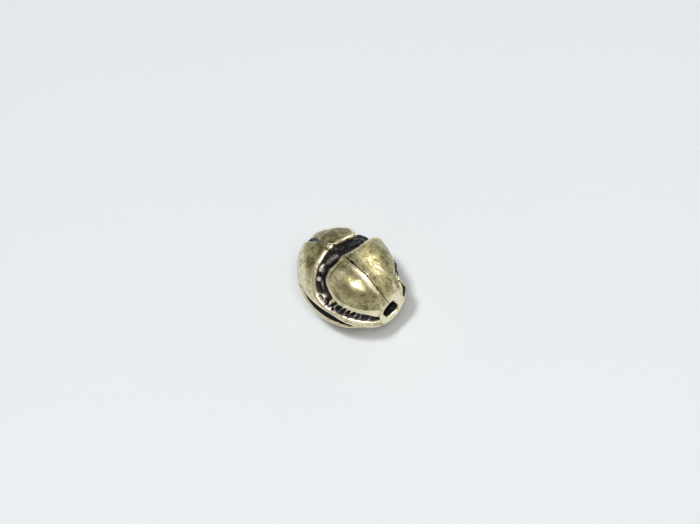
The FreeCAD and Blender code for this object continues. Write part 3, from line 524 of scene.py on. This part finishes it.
# Painted highlight: a bright band just left of the seam on the left wing case, standing in for a lamp's
# reflection there.
seam_painted_highlight = peak(from_seam, -STREAK_SIDE, STREAK_WIDTH) * span(X, *STREAK_REACH) * near_top
edge_rub = peak(wing, 0, WING_EDGE_RUB)
# Painted light: the front of the left wing case is painted lighter.
left_wear_and_light = WING_WEAR + FRONT_PAINTED_LIGHT * (1 - ramp(X, *FRONT_END)) + STREAK_PAINTED_HIGHLIGHT * seam_painted_highlight + tail_wear
# Painted reflection: the flange is painted lighter the further down the side it turns, as if it mirrored
# the pale table.
left_wear_and_light = left_wear_and_light + FLANGE_PAINTED_REFLECTION * ramp(-lobe, *FLANGE_LINE) * down_side
# Painted shade: a darker line just inside the lobe's edge, along the crease to the flange.
left_wear_and_light = left_wear_and_light - CREASE_PAINTED_SHADE * peak(lobe, CREASE_IN, CREASE_WIDTH)
# Painted shade: the left wing case's edge is darkened near the top, above where the side turns down.
left_wear_and_light = left_wear_and_light - BROW_PAINTED_SHADE * edge_rub * (1 - down_side) * ramp(turn_degrees, *BROW_TURN)
crest_line = np.radians(np.interp(X, CREST_PLACES, CREST_ANGLES))
crest = peak(DOWN, crest_line * form, CREST_WIDTH) * span(X, *CREST_REACH) * ~on_left
right_wear_and_light = WING_WEAR + RIGHT_EDGE_WEAR * edge_rub + tail_wear
# Painted highlight: spotted glints painted along the raised ridge of the right wing case.
right_wear_and_light = right_wear_and_light + CREST_PAINTED_GLINTS * crest * (0.5 + noise(CREST_GLINT_SPOT, 31))
lay("left_wing_case", wing_level, on_left & (wing > 0), left_wear_and_light, "worn_brass")
lay("right_wing_case", wing_level + CREST_RISE * crest, ~on_left & (wing > 0), right_wear_and_light, "worn_brass")
wander = SEAM_WANDER * noise(WANDER_SIZE, 11, (X, X * 0, X * 0))
nicks = NICK * ramp(noise(NICK_SIZE, 12, (X, ACROSS * NICK_STRETCH, X * 0)), *NICK_LEVELS)
big_nick = peak(X, BIG_NICK_PLACE, BIG_NICK_LENGTH) * (from_seam > 0)
nicks = nicks + BIG_NICK * big_nick * ramp(noise(BIG_NICK_GRAIN, 15), *BIG_NICK_LEVELS)
seam_line = peak(from_seam, wander, SEAM_WIDTH + nicks, SEAM_ROUND) * ramp(X, *SEAM_START)
seam_line = seam_line * np.where(lower, 1 - ramp(X, *LOWER_SEAM_END), 1) * ((wing > 0) & near_top)
height -= SEAM_DEPTH * seam_line
sooty = np.maximum(sooty, ramp(seam_line, *SEAM_SOOT))

# Legs: knuckles, a loop and a comb of bristles, cast with the core in the channels. They are
# black like the core, with bare metal only on their highest points.
LEFT_FRONT = [(-0.74, 12, 0.40, 1.05, 0.66, 12, 0.42), (-0.10, 7, 0.12, 0.12, 0.4, 0, 0.0),
              (-1.10, 29, 0.28, 0.62, 0.70, -4, 1.1), (-0.72, 32, 0.22, 0.50, 0.5, -8, 0.35),
              (-0.74, 43.5, 0.36, 0.36, 0.62, 0, 0.75)]
LEFT_MIDDLE = [(-0.1, 48.0, 0.22, 0.80, 0.42, -38, 0.45)]
RIGHT_FRONT = [(-1.0, 8, 0.42, 0.5, 0.40, 0, 0.05), (-0.62, 24, 0.42, 0.8, 0.42, -10, 0.0),
               (-0.6, 43, 0.4, 0.7, 0.36, -20, 0.1), (-1.1, 60, 0.4, 0.8, 0.34, -30, 0.1),
               (-1.9, 76, 0.4, 0.7, 0.32, -35, 0.2)]
KNUCKLE_ROUND, KNUCKLE_WAVE_SHARE, SHINE_START = 2.6, 0.8, 0.2
LOOP_PLACE, LOOP_TURN, LOOP_RADIUS, LOOP_STRETCH = 0.33, math.radians(63), 0.40, 1.1
WIRE, WIRE_RISE, WIRE_WAVE_SHARE, LOOP_WEAR, LOOP_HOLLOW, HOLLOW_SHARE = 0.13, 0.62, 0.5, 1.2, 0.3, 0.9
COMB_START, COMB_END, FIRST_PITCH, LAST_PITCH, PITCH_DRIFT = 0.9, 5.6, 0.62, 0.34, 0.8
COMB_SLANT, COMB_LINE, COMB_ROOT, FIRST_TOOTH, TOOTH_LOSS = 0.35, math.radians(70), 0.10, 0.66, 0.34
TOOTH_FLANKS, TOOTH_TIP, TOOTH_CHANGE, TIP_CHANGE = (0.45, 0.95), (0.74, 1.0), 0.6, 0.8
DRIFT_SIZE, TOOTH_SIZE, TIP_SIZE = 0.6, 0.3, 0.25
COMB_WEAR, COMB_FADE, COMB_FADE_REACH = 1.3, 0.4, (1.3, 2.7)
RIGHT_COMB_STEP, RIGHT_COMB_RISE, RIGHT_COMB_REACH = 0.8, 0.52, (0.5, 1.3, 3.4, 4.2)
RIGHT_TOOTH, RIGHT_COMB_WEAR = 0.06, 0.1
in_channel = (channel > 0) & (wing < 0)


def knuckle_level(x, degrees, half_along, half_across, rise, lean):
    """A blunt knuckle on the channel's floor."""
    dx, dw = X - x, DOWN - math.radians(degrees) * form
    lean = math.radians(lean)
    p, q = dx * math.cos(lean) + dw * math.sin(lean), dw * math.cos(lean) - dx * math.sin(lean)
    inner = 1 - np.abs(p / half_along) ** KNUCKLE_ROUND - np.abs(q / half_across) ** KNUCKLE_ROUND
    top = floor + rise * np.sqrt(np.maximum(inner, 0)) + rough * KNUCKLE_WAVE_SHARE
    return np.where(inner > 0, top, 0)


for name, on_side, knuckles in (("left_front_leg", side_left, LEFT_FRONT),
                                ("left_middle_leg", side_left, LEFT_MIDDLE),
                                ("right_front_leg", ~side_left, RIGHT_FRONT)):
    for x, degrees, half_along, half_across, rise, lean, shine in knuckles:
        knuckle = knuckle_level(x, degrees, half_along, half_across, rise, lean)
        knuckle_wear = shine * ramp(knuckle - floor, SHINE_START, rise)
        lay(name, knuckle, on_side & in_channel, knuckle_wear, "dark_brass")
from_loop = np.hypot((X - LOOP_PLACE) / LOOP_STRETCH, DOWN - LOOP_TURN * form) - LOOP_RADIUS
wire_level = floor + WIRE_RISE * np.sqrt(np.maximum(1 - (from_loop / WIRE) ** 2, 0))
wire_level = wire_level + rough * WIRE_WAVE_SHARE
on_wire = side_left & in_channel & (np.abs(from_loop) < WIRE)
lay("left_middle_leg", wire_level, on_wire, LOOP_WEAR, "dark_brass")
in_loop = side_left & (from_loop < -WIRE * HOLLOW_SHARE)
height[in_loop] -= LOOP_HOLLOW
sooty[in_loop] = 1
way = np.clip((X - COMB_START) / (COMB_END - COMB_START), 0, 1)
slant = COMB_SLANT * (DOWN - COMB_LINE * form)
pitch = FIRST_PITCH + (LAST_PITCH - FIRST_PITCH) * way / 2
phase = (X + slant - COMB_START) / pitch + PITCH_DRIFT * noise(DRIFT_SIZE, 21)
tooth = np.abs(phase % 1 - 0.5) * 2
ridge = ramp(tooth, *TOOTH_FLANKS) * (1 + TOOTH_CHANGE * noise(TOOTH_SIZE, 22))
comb_level = floor + COMB_ROOT + (FIRST_TOOTH - TOOTH_LOSS * way) * ridge
comb_wear = ramp(tooth, *TOOTH_TIP) * (COMB_WEAR - COMB_FADE * ramp(X, *COMB_FADE_REACH))
comb_wear = comb_wear * (1 + TIP_CHANGE * noise(TIP_SIZE, 23))
on_comb = side_left & in_channel & (X + slant > COMB_START) & (X < COMB_END)
lay("left_hind_leg", comb_level, on_comb, comb_wear, "dark_brass")
right_comb = belly(X, GIRDLE - RIGHT_COMB_STEP, tail=TAIL_FACE - 2 * TAIL_STEP)
right_comb = right_comb + RIGHT_COMB_RISE * span(X, *RIGHT_COMB_REACH) - RIGHT_TOOTH * ridge
on_right_comb = ~side_left & in_channel & (X > COMB_START) & (X < COMB_END)
lay("right_hind_leg", right_comb, on_right_comb, RIGHT_COMB_WEAR * ridge, "dark_brass")

# Boss: a small button of the same brass where the collar and the wing cases meet, rubbed
# bright, in a dark ring. A curl of cast wire lies beside it.
BOSS_PLACE, BOSS_SIDE, BOSS_RADIUS, BOSS_RISE, BOSS_ROUND, BOSS_WEAR = -1.88, 0.03, 0.44, 0.16, 0.42, 1.1
RING_WIDTH, RING_DEPTH, RING_SOOT_WIDTH = 0.14, 0.22, 0.10
CURL_PLACE, CURL_SIDE, CURL_RADIUS, CURL_WIRE, CURL_REACH = -1.66, -0.30, 0.19, 0.06, 0.34
CURL_RISE, CURL_HOLLOW, CURL_MIDDLE, CURL_INSIDE, CURL_WEAR = 0.16, 0.15, 0.08, 0.15, 0.9
from_boss = np.hypot(X - BOSS_PLACE, ACROSS - BOSS_SIDE) - BOSS_RADIUS
in_ring = near_top & (from_boss < RING_WIDTH) & (label != "core")
height -= np.where(in_ring, RING_DEPTH * (1 - ramp(from_boss, 0, RING_WIDTH)), 0)
sooty = np.maximum(sooty, np.where(in_ring, 1 - ramp(from_boss, 0, RING_SOOT_WIDTH), 0))
boss_level = belly(np.full_like(X, BOSS_PLACE), GIRDLE) + BOSS_RISE - ledge(-from_boss, BOSS_ROUND)
on_boss = near_top & (from_boss < 0)
lay("boss", boss_level, on_boss, BOSS_WEAR, "worn_brass")
sooty[on_boss] = 0
from_curl = np.hypot(X - CURL_PLACE, ACROSS - CURL_SIDE)
curl = peak(from_curl, CURL_RADIUS, CURL_WIRE)
near_curl = near_top & (from_curl < CURL_REACH)
height += np.where(near_curl, CURL_RISE * curl - CURL_HOLLOW * (1 - ramp(from_curl, 0, CURL_INSIDE)), 0)
rub_and_light[near_curl] += CURL_WEAR * curl[near_curl]
curl_soot = np.maximum(sooty, 1 - ramp(from_curl, CURL_MIDDLE, CURL_INSIDE)) * (1 - curl)
sooty = np.where(near_curl, curl_soot, sooty)

# Head and tail ring: the two end faces, cast with the rest and drilled for the cord. The
# tail's face leans a little at the top, and its mouth is ragged where the drill broke out.
BORE, BORE_DEPTH, BORE_SHARE, MOUTH_SHARE = 0.8, 2.4, 0.99, 0.25
MOUTH_GAP, MOUTH_CORNER, CORNER_ANGLE = 0.02, 0.15, 0.3
MOUTH_BITE, MOUTH_BITE_ANGLE, MOUTH_BITE_SPREAD = 0.32, -2.35, 0.42
LEAN, LEAN_CURVE, LEAN_TOP, BEVEL_DROP, BEVEL_WIDTH = 0.28, 1.2, (-0.5, 1.0), 0.12, 0.15
RING_RADIUS, HEAD_START = 1.15, -5.1
SKIN_LUMPS = ((0.010, 0.9, 5), (0.006, 0.3, 6))
LIMIT_PROUD, LIMIT_TOP = 0.16, 0.5
RELIEF_BLUR, RELIEF_FADE, RELIEF_REACH, END_RELIEF = 40, 0.85, (4.7, 5.4), 0.01
BORE_SOOT_SHARE = 1 / 12
FACE_SOFT, FLANK_SOFT, SOFTENING = 0.45, 0.8, 0.35


def soften(values, times):
    """Each point drawn towards its neighbours, times over, as a casting's edges are."""
    for _ in range(times):
        values = np.pad(values, ((1, 1), (0, 0)), mode="edge")
        values = (values[:-2] + values[2:] + 2 * values[1:-1]) / 4
        values = (np.roll(values, 1, 1) + np.roll(values, -1, 1) + 2 * values) / 4
    return values


def end_face(row, outward, hole, lean, name, name_radius):
    """The net's rows from the flank's edge in over one end and down into the hole."""
    share = np.linspace(1, 0, int((TAIL_FACE - BORE) / STEP) + 1)[1:, None]
    depth = np.linspace(0, 1, int(BORE_DEPTH / STEP / 2) + 1)[1:, None]
    face_r = hole + (flank[row] - hole) * share
    bevel = BEVEL_DROP * (1 - np.clip((face_r - hole) / BEVEL_WIDTH, 0, 1)) ** 2
    face_x = outward * (HALF - lean * (1 - share) ** LEAN_CURVE - bevel)
    bore_x = face_x[-1] - outward * depth * BORE_DEPTH
    bore_r = hole + (BORE * BORE_SHARE - hole) * np.minimum(depth / MOUTH_SHARE, 1)
    end_x, end_r = np.vstack([face_x, bore_x]), np.vstack([face_r, bore_r])
    end_label = np.full(end_x.shape, name, dtype=object)
    outer = end_r > name_radius
    end_label[outer] = np.broadcast_to(label[row], end_x.shape)[outer]
    on_face, in_bore = np.ones_like(face_x), np.ones_like(bore_x)
    end_relief = np.vstack([relief[row] * share * on_face, 0 * in_bore]) + END_RELIEF
    end_rub_and_light = np.vstack([rub_and_light[row] * share + (1 - share) * on_face, 0 * in_bore])
    end_sooty = np.vstack([0 * on_face, np.minimum(depth / BORE_SOOT_SHARE, 1) * in_bore])
    return end_x, end_r, np.broadcast_to(theta, end_x.shape), end_label, end_relief, end_rub_and_light, end_sooty


flank = soften(height, 1) + lumps(SKIN_LUMPS)
flank = np.minimum(flank, belly(X, GIRDLE + LIMIT_PROUD + LIMIT_TOP * np.cos(T) ** 2))
relief = (flank - soften(flank, RELIEF_BLUR)) * (1 - RELIEF_FADE * ramp(np.abs(X), *RELIEF_REACH))
rub_and_light, sooty = soften(rub_and_light, 2), soften(sooty, 1)
from_bite = np.angle(np.exp(1j * (theta - MOUTH_BITE_ANGLE)))
mouth = BORE + MOUTH_GAP + MOUTH_CORNER * np.abs(np.sin(2 * (theta - CORNER_ANGLE)))
mouth = mouth + MOUTH_BITE * peak(from_bite, 0, MOUTH_BITE_SPREAD, 3)
tail = end_face(0, 1, mouth, LEAN * ramp(np.cos(theta), *LEAN_TOP), "tail_ring", RING_RADIUS)
body = X, flank, np.broadcast_to(theta, X.shape), label, relief, rub_and_light, sooty
head = end_face(-1, -1, np.full_like(theta, BORE), 0 * theta, "head", np.inf)
slots["tail_ring"] = slots["head"] = "worn_brass"
stacked = (np.vstack([from_tail[::-1], from_body, from_head])
           for from_tail, from_body, from_head in zip(tail, body, head))
skin_x, skin_r, skin_t, skin_label, *skin_marks = stacked
skin_label[skin_x < HEAD_START] = "head"
rows, columns = skin_x.shape
from_rim = (np.arange(rows) - len(tail[0])) * STEP
nearness = peak(from_rim, 0, np.where(from_rim > 0, FLANK_SOFT, FACE_SOFT))[:, None]
for _ in range(int(SOFTENING / STEP ** 2)):
    for values in (skin_x, skin_r):
        drawn = (values[:-2] + values[2:] - 2 * values[1:-1]) / 4
        values[1:-1] += drawn * nearness[1:-1]

# Pieces: the finished net is cut along the labels, and each piece gets its own metal and
# rides on the bead's one body, because the casting has no moving part.
points = np.stack([skin_x, -skin_r * np.sin(skin_t), skin_r * np.cos(skin_t)], axis=-1)
points = np.clip(points, np.array(cad_low) / MM, np.array(cad_high) / MM)
down = np.zeros_like(points)
down[1:-1] = points[2:] - points[:-2]
down[0], down[-1] = points[1] - points[0], points[-1] - points[-2]
normals = np.cross(down, np.roll(points, -1, axis=1) - np.roll(points, 1, axis=1))
normals /= np.linalg.norm(normals, axis=-1, keepdims=True) + 1e-12
index = np.arange(rows * columns).reshape(rows, columns)
beside = np.roll(index, -1, 1)
quads = np.stack([part.ravel() for part in (index[:-1], index[1:], beside[1:], beside[:-1])], axis=1)
quad_label = skin_label[:-1].ravel()
flat_points, flat_normals = points.reshape(-1, 3) * MM, normals.reshape(-1, 3)
for name in sorted(set(quad_label)):
    own = quads[quad_label == name]
    used, local = np.unique(own, return_inverse=True)
    mesh = bpy.data.meshes.new(name + "_skin")
    mesh.from_pydata(flat_points[used].tolist(), [], local.reshape(-1, 4).tolist())
    mesh.polygons.foreach_set("use_smooth", np.ones(len(own), bool))
    for mark_name, values in zip(MARKS, skin_marks):
        attribute = mesh.attributes.new(mark_name, "FLOAT", "POINT")
        attribute.data.foreach_set("value", values.ravel()[used].astype(np.float32))
    mesh.normals_split_custom_set_from_vertices(flat_normals[used].tolist())
    mesh.materials.append(looks[slots[name]])
    piece = bpy.data.objects.new(name + "_skin", mesh)
    scene.collection.objects.link(piece)
    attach(piece, "root")
    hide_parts(name)
